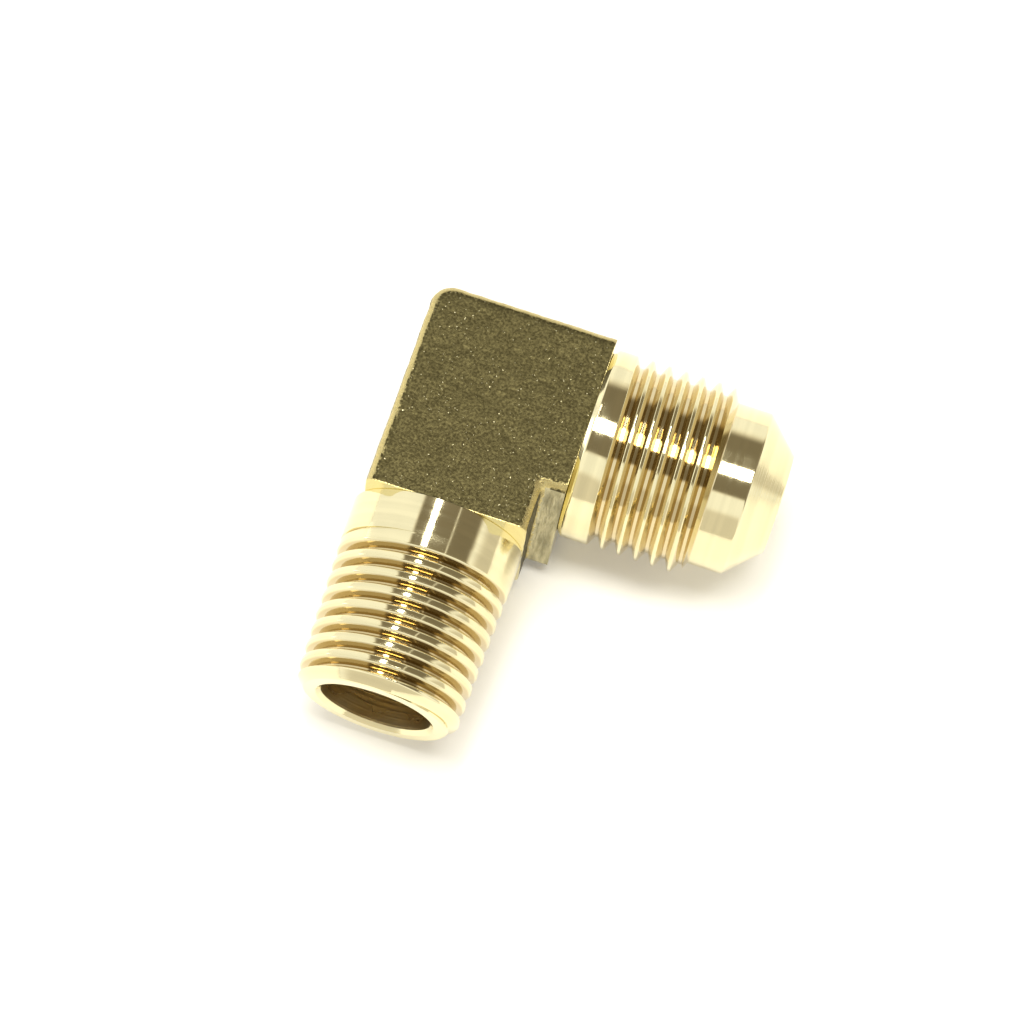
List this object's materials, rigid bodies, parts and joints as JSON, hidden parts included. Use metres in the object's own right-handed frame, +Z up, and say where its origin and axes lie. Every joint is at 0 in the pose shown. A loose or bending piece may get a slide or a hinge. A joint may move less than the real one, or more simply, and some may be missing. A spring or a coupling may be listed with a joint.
{
  "type": "flare elbow fitting",
  "caption": "One-piece forged brass 90 degree male elbow: a 45 degree flare end for copper tube and a tapered male pipe-thread end.",
  "frame": {"origin": "where the two port axes meet, at the end of the pipe bore", "axes": "+X along the flare port's axis, out of its nose; -Y along the pipe port's axis, out of its mouth; +Z up, square to both ports, as the fitting lies flat"},
  "size_m": [0.0324, 0.0348, 0.0158],
  "materials": {
    "brass": "machined ends, bright; forged block, dull and slightly grainy"
  },
  "bodies": {
    "root": {"elbow_body": "brass"}
  },
  "joints": []
}
